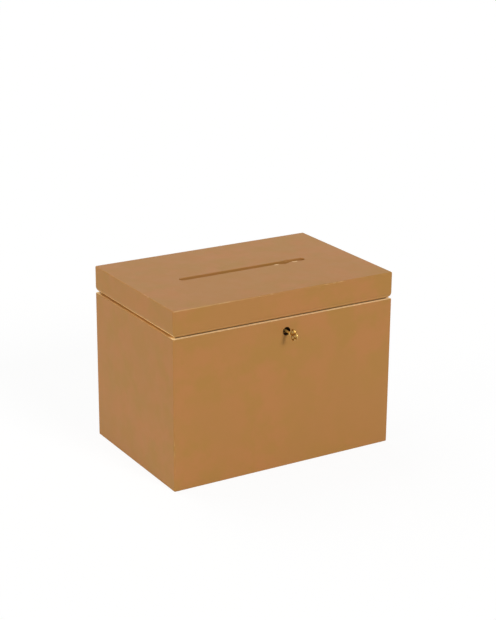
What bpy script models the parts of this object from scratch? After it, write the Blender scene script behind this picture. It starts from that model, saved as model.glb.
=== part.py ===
"""Lockable envelope box, in metres.

A painted wooden box with a hinged lid. Envelopes go in through a long slot in the lid. A brass key
in the front wall turns a hub, whose cam slides a bolt under two lugs that hang from the lid.

The origin is the centre of the underside. The front faces -Y, the width runs along X and Z is up.
"""

import math

import bmesh
import bpy
from mathutils import Matrix, Vector

# The box
WIDTH = 0.305
DEPTH = 0.203
BODY_HEIGHT = 0.19
LID_HEIGHT = 0.0336
WALL = 0.009
LID_PANEL = 0.009
BOTTOM_PANEL = 0.005
BOTTOM_LAP = 0.0045
CORNER_RADIUS = 0.002
TOP_ROUND = 0.0015
RIM_ROUND = 0.0015
FOOT_EASE = 0.0008
LID_CHAMFER = 0.0043
SLOT_LENGTH = 0.178
SLOT_WIDTH = 0.009
KEYHOLE_RADIUS = 0.005
KEY_DROP = 0.016

# Clearances: between wooden parts, around fitted metal, around screws and in the bearings
SEAM_GAP = 0.0004
GLUE_GAP = 0.0003
FIT = 0.0003
SCREW_FIT = 0.00015
BEARING_FIT = 0.0001

# The hinges
HINGE_INSET = 0.055
HINGE_LENGTH = 0.026
PIN_SHARE = 0.6
LEAF = 0.001
LEAF_MARGIN = 0.001
PIN_RADIUS = 0.0008
KNUCKLE_WALL = 0.001
HINGE_SCREW_SPREAD = 0.014
HINGE_SCREW_LENGTH = 0.0075
HINGE_SCREW_HEAD = 0.00135

# Screws of the lock and of the strike plate
SCREW_RADIUS = 0.00075
SCREW_HEAD = 0.0015
SCREW_HEAD_HEIGHT = 0.0009
SCREW_LENGTH = 0.0075
DRIVER_SLOT = 0.0004

# The key
KEY_SHANK_RADIUS = 0.0015
KEY_COLLAR_RADIUS = 0.0027
KEY_COLLAR = 0.002
BIT_REACH = 0.0029
BIT_LENGTH = 0.0017
BIT = 0.0011
BOW_DISTANCE = 0.0152
BOW = 0.0022
LOBE_SPREAD = 0.0034
END_LOBE_OFFSET = 0.0052
LOBE_RADIUS = 0.0042
LOBE_HOLE_RADIUS = 0.0019

# The lock's hub
JOURNAL_WALL = 0.0004
COLLAR_STEP = 0.0008
COLLAR = 0.0016
SHAFT_WALL = 0.0008
CAM_REACH = 0.0046
CAM_TIP_RADIUS = 0.0007
CAM_ARM_RADIUS = 0.00035
CAM_REST_ANGLE = math.radians(135)

# The bolt
BOLT = 0.0014
BOLT_LIFT = 0.0004
NOTCH_FLARE = 0.0006
NOTCH_WALL = 0.0012
BAR_ABOVE_NOTCH = 0.0016
BOLT_NOSE = 0.0016
STEM = 0.002
STEM_CLEARANCE = 0.0005
FINGER_HEIGHT = 0.0022
FINGER_START = 0.001
POST_RADIUS = 0.0008
POST_SHOULDER = 0.0008
SPRING = 0.0005

# The lock's plate and case
PLATE = 0.001
PLATE_OVERHANG = 0.0006
CASE_SHEET = 0.0008
CASE_ROOM = 0.0006
EAR = 0.005

# The strike plate on the lid
STRIKE_WIDTH = 0.034
STRIKE_HEIGHT = 0.012
STRIKE_ABOVE_SEAM = 0.0016
LUG = 0.0012
LUG_SPACING = 0.014
EYE_CLEARANCE = 0.0004
EYE_WALL = 0.001

# How finely round shapes are cut
CORNER_STEPS = 4
ROUND_STEPS = 3
SPRING_STEPS = 16
SCREW_SEGMENTS = 16
ROUND_SEGMENTS = 24
SMOOTH_BELOW = math.radians(32)
LEAST_RADIUS = 0.0001
OVERSHOOT = 0.001

# Places that several pieces share
HEIGHT = BODY_HEIGHT + SEAM_GAP + LID_HEIGHT
LID_BOTTOM = BODY_HEIGHT + SEAM_GAP
RAIL_TOP = HEIGHT - LID_PANEL - GLUE_GAP
WALL_FACE = -DEPTH / 2 + WALL
KEY_HEIGHT = BODY_HEIGHT - KEY_DROP
HINGE_Y = DEPTH / 2 - PIN_SHARE * LID_CHAMFER
HINGE_Z = BODY_HEIGHT + SEAM_GAP / 2
HINGE_X = WIDTH / 2 - HINGE_INSET
BARREL_RADIUS = PIN_RADIUS + BEARING_FIT + KNUCKLE_WALL
JOURNAL_RADIUS = BIT_REACH + FIT + JOURNAL_WALL
COLLAR_RADIUS = JOURNAL_RADIUS + COLLAR_STEP
SHAFT_RADIUS = KEY_SHANK_RADIUS + BEARING_FIT + SHAFT_WALL

# Depths behind the inner face of the front wall
PLATE_BACK = FIT + PLATE
CASE_FRONT = PLATE_BACK + FIT
COLLAR_BACK = CASE_FRONT + COLLAR
KEYWAY_END = COLLAR_BACK - FIT
BIT_END = KEYWAY_END - FIT
BOLT_FRONT = COLLAR_BACK + FIT
BOLT_BACK = BOLT_FRONT + BOLT
LUG_FRONT = BOLT_FRONT - EYE_CLEARANCE - EYE_WALL
LUG_BACK = BOLT_BACK + EYE_CLEARANCE + EYE_WALL
CASE_INSIDE = LUG_BACK + EYE_CLEARANCE
CASE_BACK = CASE_INSIDE + CASE_SHEET

# Heights above the key, for the bolt and the lugs it locks
BAR_LOW = SHAFT_RADIUS + BOLT_LIFT
NOTCH_TOP = CAM_REACH + CAM_TIP_RADIUS + FIT
BAR_TOP = NOTCH_TOP + BAR_ABOVE_NOTCH
BAR_MIDDLE = (BAR_LOW + BAR_TOP) / 2
LUG_LOW = BAR_TOP + EYE_CLEARANCE
EYE_LOW = LUG_LOW + EYE_WALL
FINGER_LOW = EYE_LOW + EYE_CLEARANCE
FINGER_TOP = FINGER_LOW + FINGER_HEIGHT
EYE_TOP = FINGER_TOP + EYE_CLEARANCE
CASE_TOP = FINGER_TOP + CASE_ROOM + CASE_SHEET
CASE_LOW = -COLLAR_RADIUS - CASE_ROOM - CASE_SHEET

# Places across the lock, from the key towards the right
CAM_X = CAM_REACH * math.cos(CAM_REST_ANGLE)
BOLT_TRAVEL = -2 * CAM_X
NOTCH_LEFT = CAM_X - CAM_TIP_RADIUS - FIT
NOTCH_RIGHT = CAM_X + CAM_TIP_RADIUS + FIT
POST_X = NOTCH_LEFT - NOTCH_FLARE - NOTCH_WALL - FIT - POST_RADIUS
FINGER = BOLT_TRAVEL + STEM_CLEARANCE - FINGER_START
LUG_PLACES = (-LUG_SPACING / 2, LUG_SPACING / 2)
STEM_PLACES = [x - LUG / 2 - FINGER_START - FINGER - STEM for x in LUG_PLACES]
CASE_WIDTH = 2 * (CASE_SHEET + CASE_ROOM - STEM_PLACES[0])
LOCK_WIDTH = CASE_WIDTH + 2 * EAR

PAINT = ((0.423, 0.202, 0.068), 0.55, 0.0)
BRASS = ((0.70, 0.47, 0.15), 0.3, 1.0)
STEEL = ((0.45, 0.44, 0.42), 0.35, 1.0)


def clear_scene():
    """Remove whatever the scene holds."""
    for obj in list(bpy.data.objects):
        bpy.data.objects.remove(obj, do_unlink=True)


def make_material(name, finish):
    """Make the material of one piece from its colour, roughness and metallic value."""
    colour, roughness, metallic = finish
    material = bpy.data.materials.new(name)
    material.use_nodes = True
    shader = material.node_tree.nodes["Principled BSDF"]
    shader.inputs["Base Color"].default_value = (*colour, 1.0)
    shader.inputs["Roughness"].default_value = roughness
    shader.inputs["Metallic"].default_value = metallic
    return material


def make_axis(name, place):
    """Make an empty on a joint's axis, for the pieces that turn with it."""
    axis = bpy.data.objects.new(name, None)
    axis.location = place
    axis.empty_display_size = KEY_DROP
    bpy.context.scene.collection.objects.link(axis)
    return axis


def make_object(name, shape, place):
    """Turn a bmesh, drawn in the box's frame, into an object whose origin is at a place."""
    bmesh.ops.recalc_face_normals(shape, faces=shape.faces)
    shape.transform(Matrix.Translation(-Vector(place)))
    mesh = bpy.data.meshes.new(name)
    shape.to_mesh(mesh)
    shape.free()
    mesh.shade_smooth()
    mesh.set_sharp_from_angle(angle=SMOOTH_BELOW)
    obj = bpy.data.objects.new(name, mesh)
    obj.location = place
    bpy.context.scene.collection.objects.link(obj)
    return obj


def make_piece(name, shape, finish, place=(0.0, 0.0, 0.0), axis=None):
    """Make one visible piece of the box, carried by a joint's axis where it has one."""
    obj = make_object(name, shape, place)
    obj.data.materials.append(make_material(name + "_finish", finish))
    if axis is not None:
        obj.parent = axis
        obj.location = Vector(place) - axis.location
    return obj


def make_tool(name, shape):
    """Make a hidden solid that is cut from a piece or joined to it."""
    tool = make_object(name, shape, (0.0, 0.0, 0.0))
    tool.hide_render = True
    tool.hide_viewport = True
    tool.display_type = "WIRE"
    return tool


def combine(piece, tool, operation):
    """Put a Boolean on a piece."""
    modifier = piece.modifiers.new(tool.name, "BOOLEAN")
    modifier.operation = operation
    modifier.solver = "EXACT"
    modifier.object = tool


def cut(piece, *tools):
    for tool in tools:
        combine(piece, tool, "DIFFERENCE")


def join(piece, *tools):
    for tool in tools:
        combine(piece, tool, "UNION")


def prism(outline, axis, low, high):
    """Draw a solid from an outline in the plane square to an axis, between two places along it."""
    shape = bmesh.new()
    order = {"X": (2, 0, 1), "Y": (0, 2, 1), "Z": (0, 1, 2)}[axis]
    ends = []
    for along in (low, high):
        corners = [(*point, along) for point in outline]
        ends.append([shape.verts.new([corner[i] for i in order]) for corner in corners])
    count = len(outline)
    for i in range(count):
        j = (i + 1) % count
        shape.faces.new((ends[0][i], ends[0][j], ends[1][j], ends[1][i]))
    shape.faces.new(list(reversed(ends[0])))
    shape.faces.new(ends[1])
    return shape


def box(low, high):
    """Draw a rectangular block between two opposite corners."""
    outline = ((low[0], low[1]), (high[0], low[1]), (high[0], high[1]), (low[0], high[1]))
    return prism(outline, "Z", low[2], high[2])


def circle(radius, centre=(0.0, 0.0), segments=ROUND_SEGMENTS):
    """List the corners of a round outline."""
    turns = [math.tau * i / segments for i in range(segments)]
    return [
        (centre[0] + radius * math.cos(turn), centre[1] + radius * math.sin(turn))
        for turn in turns
    ]


def stadium(start, end, radius):
    """List the corners of an outline with two straight sides and two round ends."""
    run = Vector(end) - Vector(start)
    heading = math.atan2(run.y, run.x)
    half = ROUND_SEGMENTS // 2
    points = []
    for centre, first in ((end, heading - math.pi / 2), (start, heading + math.pi / 2)):
        for i in range(half + 1):
            turn = first + math.pi * i / half
            points.append(
                (centre[0] + radius * math.cos(turn), centre[1] + radius * math.sin(turn))
            )
    return points


def lathe(profile, place, heading, segments=ROUND_SEGMENTS):
    """Turn a profile of (radius, distance) pairs about a line that leaves a place in a heading."""
    shape = bmesh.new()
    rings = []
    for radius, distance in profile:
        corners = circle(radius, segments=segments)
        rings.append([shape.verts.new((x, y, distance)) for x, y in corners])
    for ring, following in zip(rings, rings[1:]):
        for i in range(segments):
            j = (i + 1) % segments
            shape.faces.new((ring[i], ring[j], following[j], following[i]))
    shape.faces.new(list(reversed(rings[0])))
    shape.faces.new(rings[-1])
    turn = Vector(heading).to_track_quat("Z", "X").to_matrix().to_4x4()
    shape.transform(Matrix.Translation(place) @ turn)
    return shape


def rounded_rectangle(half_x, half_y, radius):
    """List the corners of a rectangle with round corners."""
    points = []
    for quarter, (side_x, side_y) in enumerate(((1, 1), (-1, 1), (-1, -1), (1, -1))):
        centre_x = side_x * (half_x - radius)
        centre_y = side_y * (half_y - radius)
        for i in range(CORNER_STEPS + 1):
            turn = math.pi / 2 * (quarter + i / CORNER_STEPS)
            points.append(
                (centre_x + radius * math.cos(turn), centre_y + radius * math.sin(turn))
            )
    return points


def rounded_edge(top, radius):
    """List (height, inset) pairs round the upper edge of a block, lowest first."""
    turns = [math.pi / 2 * i / ROUND_STEPS for i in range(ROUND_STEPS + 1)]
    return [
        (top - radius * (1 - math.sin(turn)), radius * (1 - math.cos(turn)))
        for turn in turns
    ]


def stacked_block(rings):
    """Draw a block of the box's plan from (height, inset) pairs, lowest first."""
    shape = bmesh.new()
    layers = []
    for height, inset in rings:
        radius = max(CORNER_RADIUS - inset, LEAST_RADIUS)
        outline = rounded_rectangle(WIDTH / 2 - inset, DEPTH / 2 - inset, radius)
        layers.append([shape.verts.new((x, y, height)) for x, y in outline])
    for layer, following in zip(layers, layers[1:]):
        for i in range(len(layer)):
            j = (i + 1) % len(layer)
            shape.faces.new((layer[i], layer[j], following[j], following[i]))
    shape.faces.new(list(reversed(layers[0])))
    shape.faces.new(layers[-1])
    return shape


def keep_behind(shape, point, normal):
    """Cut away what lies in front of a plane and close the cut."""
    whole = shape.verts[:] + shape.edges[:] + shape.faces[:]
    bmesh.ops.bisect_plane(
        shape, geom=whole, plane_co=point, plane_no=normal, clear_outer=True
    )
    rim = [edge for edge in shape.edges if edge.is_boundary]
    bmesh.ops.holes_fill(shape, edges=rim, sides=0)


def mitred_side(rings, outward):
    """Draw one side of a frame: a slice of the block, mitred at both of its corners."""
    shape = stacked_block(rings)
    across = Vector((outward[1], outward[0], 0.0))
    outward = Vector((outward[0], outward[1], 0.0))
    half = Vector((WIDTH / 2, DEPTH / 2, 0.0))
    face = Vector((outward.x * half.x, outward.y * half.y, 0.0))
    keep_behind(shape, face - outward * WALL, -outward)
    for end in (across, -across):
        corner = face + Vector((end.x * half.x, end.y * half.y, 0.0))
        mitre = (end - outward).normalized()
        keep_behind(shape, corner - mitre * GLUE_GAP / 2, mitre)
    return shape


SIDES = {"front": (0, -1), "back": (0, 1), "left": (-1, 0), "right": (1, 0)}


def make_body_walls():
    """Make the four mitred walls under the lid, rebated for the bottom board."""
    rings = [(0.0, FOOT_EASE), (FOOT_EASE, 0.0), *rounded_edge(BODY_HEIGHT, RIM_ROUND)]
    rebate = WALL - BOTTOM_LAP - GLUE_GAP
    rebate_tool = make_tool(
        "bottom_rebate",
        box(
            (-WIDTH / 2 + rebate, -DEPTH / 2 + rebate, -OVERSHOOT),
            (WIDTH / 2 - rebate, DEPTH / 2 - rebate, BOTTOM_PANEL + GLUE_GAP),
        ),
    )
    walls = {}
    for side, outward in SIDES.items():
        wall = make_piece(side + "_wall", mitred_side(rings, outward), PAINT)
        cut(wall, rebate_tool)
        walls[side] = wall
    keyhole = prism(
        circle(KEYHOLE_RADIUS, (0.0, KEY_HEIGHT)),
        "Y",
        -DEPTH / 2 - OVERSHOOT,
        WALL_FACE + OVERSHOOT,
    )
    cut(walls["front"], make_tool("keyhole", keyhole))
    return walls


def make_bottom_panel():
    """Make the board that closes the box from below, flush with the walls."""
    edge = WALL - BOTTOM_LAP
    low = (-WIDTH / 2 + edge, -DEPTH / 2 + edge, 0.0)
    high = (WIDTH / 2 - edge, DEPTH / 2 - edge, BOTTOM_PANEL)
    return make_piece("bottom_panel", box(low, high), PAINT)


def make_lid_rails(hinge_axis):
    """Make the four mitred rails under the lid's panel, chamfered over the body's rim."""
    rings = ((LID_BOTTOM, LID_CHAMFER), (LID_BOTTOM + LID_CHAMFER, 0.0), (RAIL_TOP, 0.0))
    return {
        side: make_piece(
            f"lid_{side}_rail",
            mitred_side(rings, outward),
            PAINT,
            hinge_axis.location,
            hinge_axis,
        )
        for side, outward in SIDES.items()
    }


def make_lid_panel(hinge_axis):
    """Make the lid's top board, with its rounded edge and the envelope slot."""
    rings = [(HEIGHT - LID_PANEL, 0.0), *rounded_edge(HEIGHT, TOP_ROUND)]
    panel = make_piece(
        "lid_panel", stacked_block(rings), PAINT, hinge_axis.location, hinge_axis
    )
    reach = (SLOT_LENGTH - SLOT_WIDTH) / 2
    slot = prism(
        stadium((-reach, 0.0), (reach, 0.0), SLOT_WIDTH / 2),
        "Z",
        HEIGHT - LID_PANEL - OVERSHOOT,
        HEIGHT + OVERSHOOT,
    )
    cut(panel, make_tool("envelope_slot", slot))
    return panel


def screw_shapes(place, heading, head, head_height, length, countersunk):
    """Draw a screw, its hole and its driver slot. The place is the middle of the head's top."""
    if countersunk:
        profile = [
            (head, 0.0),
            (SCREW_RADIUS, head - SCREW_RADIUS),
            (SCREW_RADIUS, length),
            (LEAST_RADIUS, length + SCREW_RADIUS),
        ]
        hole_profile = [
            (head + SCREW_FIT + OVERSHOOT, -OVERSHOOT),
            (SCREW_RADIUS + SCREW_FIT, head - SCREW_RADIUS),
            (SCREW_RADIUS + SCREW_FIT, length + SCREW_RADIUS + SCREW_FIT),
        ]
    else:
        profile = [
            (head - head_height / 4, 0.0),
            (head, head_height / 2),
            (head, head_height),
            (SCREW_RADIUS, head_height),
            (SCREW_RADIUS, length),
            (LEAST_RADIUS, length + SCREW_RADIUS),
        ]
        hole_profile = [
            (SCREW_RADIUS + SCREW_FIT, head_height),
            (SCREW_RADIUS + SCREW_FIT, length + SCREW_RADIUS + SCREW_FIT),
        ]
    screw = lathe(profile, place, heading, SCREW_SEGMENTS)
    hole = lathe(hole_profile, place, heading, SCREW_SEGMENTS)
    slot = box(
        (-head - OVERSHOOT, -DRIVER_SLOT / 2, -OVERSHOOT),
        (head + OVERSHOOT, DRIVER_SLOT / 2, DRIVER_SLOT),
    )
    turn = Vector(heading).to_track_quat("Z", "X").to_matrix().to_4x4()
    slot.transform(Matrix.Translation(place) @ turn)
    return screw, hole, slot


def make_screw(name, place, heading, finish, held, axis=None, countersunk=False):
    """Make a screw and cut its hole through the pieces that it holds."""
    head = HINGE_SCREW_HEAD if countersunk else SCREW_HEAD
    length = HINGE_SCREW_LENGTH if countersunk else SCREW_LENGTH
    shape, hole, slot = screw_shapes(
        place, heading, head, SCREW_HEAD_HEIGHT, length, countersunk
    )
    screw = make_piece(name, shape, finish, place, axis)
    cut(screw, make_tool(name + "_slot", slot))
    hole_tool = make_tool(name + "_hole", hole)
    for piece in held:
        cut(piece, hole_tool)
    return screw


def knuckle_spans():
    """List the three knuckles of a hinge along its pin, with a gap between neighbours."""
    share = HINGE_LENGTH / 3
    starts = [-HINGE_LENGTH / 2 + share * i for i in range(3)]
    outer = ((starts[0], starts[1] - FIT / 2), (starts[2] + FIT / 2, HINGE_LENGTH / 2))
    inner = ((starts[1] + FIT / 2, starts[2] - FIT / 2),)
    return outer, inner


def make_leaf(name, middle, low, high, own, others, axis=None):
    """Make one leaf of a hinge: its plate, its knuckles and the gaps for the other leaf's."""
    plate_low = (middle - HINGE_LENGTH / 2, DEPTH / 2 - WALL + LEAF_MARGIN, low)
    plate_high = (middle + HINGE_LENGTH / 2, HINGE_Y, high)
    place = axis.location if axis is not None else (middle, HINGE_Y, HINGE_Z)
    leaf = make_piece(name, box(plate_low, plate_high), BRASS, place, axis)
    for i, (start, end) in enumerate(own):
        knuckle = prism(
            circle(BARREL_RADIUS, (HINGE_Y, HINGE_Z)), "X", middle + start, middle + end
        )
        join(leaf, make_tool(f"{name}_knuckle_{i}", knuckle))
    clear = BARREL_RADIUS + FIT
    for i, (start, end) in enumerate(others):
        gap = box(
            (middle + start - FIT, HINGE_Y - clear, HINGE_Z - clear),
            (middle + end + FIT, HINGE_Y + clear, HINGE_Z + clear),
        )
        cut(leaf, make_tool(f"{name}_gap_{i}", gap))
    bore = prism(
        circle(PIN_RADIUS + BEARING_FIT, (HINGE_Y, HINGE_Z)),
        "X",
        middle - HINGE_LENGTH,
        middle + HINGE_LENGTH,
    )
    cut(leaf, make_tool(name + "_bore", bore))
    return leaf


def cut_hinge_mortise(name, middle, wood, low, high):
    """Let a hinge's leaf and barrel into the wood of a wall or of a rail."""
    half = HINGE_LENGTH / 2 + FIT
    bed = box(
        (middle - half, DEPTH / 2 - WALL + LEAF_MARGIN - FIT, low),
        (middle + half, HINGE_Y, high),
    )
    scallop = prism(
        circle(BARREL_RADIUS + FIT, (HINGE_Y, HINGE_Z)), "X", middle - half, middle + half
    )
    cut(wood, make_tool(name + "_bed", bed), make_tool(name + "_scallop", scallop))


def make_hinge(side, middle, wall, rail, hinge_axis):
    """Make one hinge: two leaves, the pin and four countersunk screws."""
    outer, inner = knuckle_spans()
    name = f"hinge_{side}"
    body_leaf = make_leaf(
        name + "_body_leaf", middle, BODY_HEIGHT - LEAF, BODY_HEIGHT, outer, inner
    )
    lid_leaf = make_leaf(
        name + "_lid_leaf", middle, LID_BOTTOM, LID_BOTTOM + LEAF, inner, outer, hinge_axis
    )
    cut_hinge_mortise(
        name + "_wall", middle, wall, BODY_HEIGHT - LEAF - FIT, BODY_HEIGHT + OVERSHOOT
    )
    cut_hinge_mortise(
        name + "_rail", middle, rail, LID_BOTTOM - OVERSHOOT, LID_BOTTOM + LEAF + FIT
    )
    pin = prism(
        circle(PIN_RADIUS, (HINGE_Y, HINGE_Z)),
        "X",
        middle - HINGE_LENGTH / 2,
        middle + HINGE_LENGTH / 2,
    )
    make_piece(name + "_pin", pin, BRASS, (middle, HINGE_Y, HINGE_Z))
    inner_edge = DEPTH / 2 - WALL + LEAF_MARGIN
    screw_y = (inner_edge + HINGE_Y - BARREL_RADIUS - FIT) / 2
    for number, offset in enumerate((-HINGE_SCREW_SPREAD / 2, HINGE_SCREW_SPREAD / 2), 1):
        make_screw(
            f"{name}_body_screw_{number}",
            (middle + offset, screw_y, BODY_HEIGHT),
            (0, 0, -1),
            BRASS,
            (body_leaf, wall),
            countersunk=True,
        )
        make_screw(
            f"{name}_lid_screw_{number}",
            (middle + offset, screw_y, LID_BOTTOM),
            (0, 0, 1),
            BRASS,
            (lid_leaf, rail),
            axis=hinge_axis,
            countersunk=True,
        )


def depth(distance):
    """Give the place along Y that lies so far behind the front wall's inner face."""
    return WALL_FACE + distance


def above_key(distance):
    """Give the height that lies so far above the key's axis."""
    return KEY_HEIGHT + distance


def make_lock_plate():
    """Make the plate on the wall's inner face, in whose hole the hub's journal turns."""
    low = above_key(CASE_LOW - PLATE_OVERHANG)
    high = above_key(CASE_TOP + PLATE_OVERHANG)
    plate = make_piece(
        "lock_plate",
        box((-LOCK_WIDTH / 2, depth(FIT), low), (LOCK_WIDTH / 2, depth(PLATE_BACK), high)),
        BRASS,
        (0.0, depth(FIT), KEY_HEIGHT),
    )
    hole = prism(
        circle(JOURNAL_RADIUS + BEARING_FIT, (0.0, KEY_HEIGHT)),
        "Y",
        depth(0.0),
        depth(CASE_FRONT),
    )
    cut(plate, make_tool("lock_plate_hole", hole))
    return plate


def make_lock_case():
    """Make the case: a folded cover with two ears, the bolt's guide post and the lugs' entries."""
    half = CASE_WIDTH / 2
    low = above_key(CASE_LOW)
    high = above_key(CASE_TOP)
    case = make_piece(
        "lock_case",
        box((-half, depth(CASE_FRONT), low), (half, depth(CASE_BACK), high)),
        BRASS,
        (0.0, depth(CASE_FRONT), KEY_HEIGHT),
    )
    ears = box(
        (-LOCK_WIDTH / 2, depth(CASE_FRONT), low),
        (LOCK_WIDTH / 2, depth(CASE_FRONT + CASE_SHEET), high),
    )
    join(case, make_tool("lock_case_ears", ears))
    cavity = box(
        (-half + CASE_SHEET, depth(CASE_FRONT - OVERSHOOT), low + CASE_SHEET),
        (half - CASE_SHEET, depth(CASE_INSIDE), high - CASE_SHEET),
    )
    cut(case, make_tool("lock_case_cavity", cavity))
    for number, middle in enumerate(LUG_PLACES, 1):
        entry = box(
            (middle - LUG / 2 - FIT, depth(CASE_FRONT - OVERSHOOT), above_key(EYE_TOP)),
            (middle + LUG / 2 + FIT, depth(CASE_INSIDE), high + OVERSHOOT),
        )
        cut(case, make_tool(f"lug_entry_{number}", entry))
    bearing = prism(
        circle(SHAFT_RADIUS + BEARING_FIT, (0.0, KEY_HEIGHT)),
        "Y",
        depth(BOLT_BACK),
        depth(CASE_BACK + OVERSHOOT),
    )
    cut(case, make_tool("lock_case_bearing", bearing))
    centre = (POST_X, above_key(BAR_MIDDLE))
    sunk = CASE_INSIDE + CASE_SHEET / 2
    post = prism(circle(POST_RADIUS, centre), "Y", depth(CASE_FRONT), depth(sunk))
    shoulder = prism(
        circle(POST_RADIUS + POST_SHOULDER, centre), "Y", depth(BOLT_BACK + FIT), depth(sunk)
    )
    join(case, make_tool("guide_shoulder", shoulder), make_tool("guide_post", post))
    return case


def make_lock_screws(plate, case, wall):
    """Make the four screws that hold the lock to the front wall."""
    offset = (LOCK_WIDTH + CASE_WIDTH) / 4
    inset = SCREW_HEAD + FIT
    heights = (above_key(CASE_LOW + inset), above_key(CASE_TOP - inset))
    head_top = depth(CASE_FRONT + CASE_SHEET + FIT + SCREW_HEAD_HEIGHT)
    number = 0
    for height in heights:
        for x in (-offset, offset):
            number += 1
            make_screw(
                f"lock_screw_{number}",
                (x, head_top, height),
                (0, -1, 0),
                BRASS,
                (case, plate, wall),
            )


def make_lock_hub(key_axis):
    """Make the hub: journal, collar, shaft and cam in one, with a keyway for the key's bit."""
    profile = (
        (JOURNAL_RADIUS, FIT),
        (JOURNAL_RADIUS, CASE_FRONT),
        (COLLAR_RADIUS, CASE_FRONT),
        (COLLAR_RADIUS, COLLAR_BACK),
        (SHAFT_RADIUS, COLLAR_BACK),
        (SHAFT_RADIUS, CASE_BACK),
    )
    place = (0.0, depth(0.0), KEY_HEIGHT)
    hub = make_piece(
        "lock_hub", lathe(profile, place, (0, 1, 0)), BRASS, key_axis.location, key_axis
    )
    tip = (CAM_X, above_key(CAM_REACH * math.sin(CAM_REST_ANGLE)))
    arm = stadium((0.0, KEY_HEIGHT), tip, CAM_ARM_RADIUS)
    for name, outline in (("cam_arm", arm), ("cam_tip", circle(CAM_TIP_RADIUS, tip))):
        join(
            hub, make_tool(name, prism(outline, "Y", depth(BOLT_FRONT), depth(BOLT_BACK)))
        )
    bore = prism(
        circle(KEY_SHANK_RADIUS + BEARING_FIT, (0.0, KEY_HEIGHT)),
        "Y",
        depth(-OVERSHOOT),
        depth(BOLT_FRONT + FIT),
    )
    keyway = box(
        (-BIT / 2 - FIT, depth(-OVERSHOOT), above_key(-BIT_REACH - FIT)),
        (BIT / 2 + FIT, depth(KEYWAY_END), KEY_HEIGHT),
    )
    cut(hub, make_tool("key_bore", bore), make_tool("keyway", keyway))
    return hub


def make_lock_bolt():
    """Make the sliding bolt: a bar with a notch for the cam and two fingers for the lugs."""
    tail = STEM_PLACES[0]
    nose = STEM_PLACES[1] + STEM + BOLT_NOSE
    outline = [
        (tail, BAR_LOW),
        (NOTCH_LEFT - NOTCH_FLARE, BAR_LOW),
        (NOTCH_LEFT, BAR_LOW + NOTCH_FLARE),
        (NOTCH_LEFT, NOTCH_TOP),
        (NOTCH_RIGHT, NOTCH_TOP),
        (NOTCH_RIGHT, BAR_LOW + NOTCH_FLARE),
        (NOTCH_RIGHT + NOTCH_FLARE, BAR_LOW),
        (nose, BAR_LOW),
        (nose, BAR_TOP),
    ]
    for stem in reversed(STEM_PLACES):
        outline += [
            (stem + STEM, BAR_TOP),
            (stem + STEM, FINGER_LOW),
            (stem + STEM + FINGER, FINGER_LOW),
            (stem + STEM + FINGER, FINGER_TOP),
            (stem, FINGER_TOP),
            (stem, BAR_TOP),
        ]
    # The last point would lie on the tail's straight edge.
    outline.pop()
    shape = prism(
        [(x, above_key(z)) for x, z in outline], "Y", depth(BOLT_FRONT), depth(BOLT_BACK)
    )
    middle = above_key(BAR_MIDDLE)
    bolt = make_piece("lock_bolt", shape, STEEL, (CAM_X, depth(BOLT_FRONT), middle))
    guide = stadium(
        (POST_X - BOLT_TRAVEL, middle), (POST_X, middle), POST_RADIUS + FIT
    )
    cut(
        bolt,
        make_tool(
            "guide_slot",
            prism(guide, "Y", depth(BOLT_FRONT - OVERSHOOT), depth(BOLT_BACK + OVERSHOOT)),
        ),
    )
    return bolt


def ribbon(points, thickness, low, high):
    """Draw a strip that follows points in the XZ plane."""
    sides = ([], [])
    for i, point in enumerate(points):
        before = Vector(points[max(i - 1, 0)])
        after = Vector(points[min(i + 1, len(points) - 1)])
        along = (after - before).normalized()
        across = Vector((-along.y, along.x)) * thickness / 2
        sides[0].append(tuple(Vector(point) + across))
        sides[1].append(tuple(Vector(point) - across))
    return prism(sides[0] + sides[1][::-1], "Y", low, high)


def make_bolt_spring():
    """Make the bowed leaf spring that presses up on the bolt and holds it where it is put."""
    foot_x = -CASE_WIDTH / 2 + CASE_SHEET + FIT
    foot_z = CASE_LOW + CASE_SHEET + FIT + SPRING / 2
    crest_z = BAR_LOW - FIT - SPRING / 2
    crest_x = POST_X
    foot_end = foot_x + (crest_x - foot_x) / 4
    tip_x = crest_x + (crest_x - foot_end) / 4
    points = [(foot_x, foot_z), (foot_end, foot_z)]
    for i in range(1, SPRING_STEPS + 1):
        share = i / SPRING_STEPS
        x = foot_end + (tip_x - foot_end) * share
        rise = math.sin(math.pi / 2 * (x - foot_end) / (crest_x - foot_end)) ** 2
        points.append((x, foot_z + (crest_z - foot_z) * rise))
    shape = ribbon(
        [(x, above_key(z)) for x, z in points], SPRING, depth(BOLT_FRONT), depth(BOLT_BACK)
    )
    place = (foot_x, depth(BOLT_FRONT), above_key(foot_z))
    return make_piece("bolt_spring", shape, STEEL, place)


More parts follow.
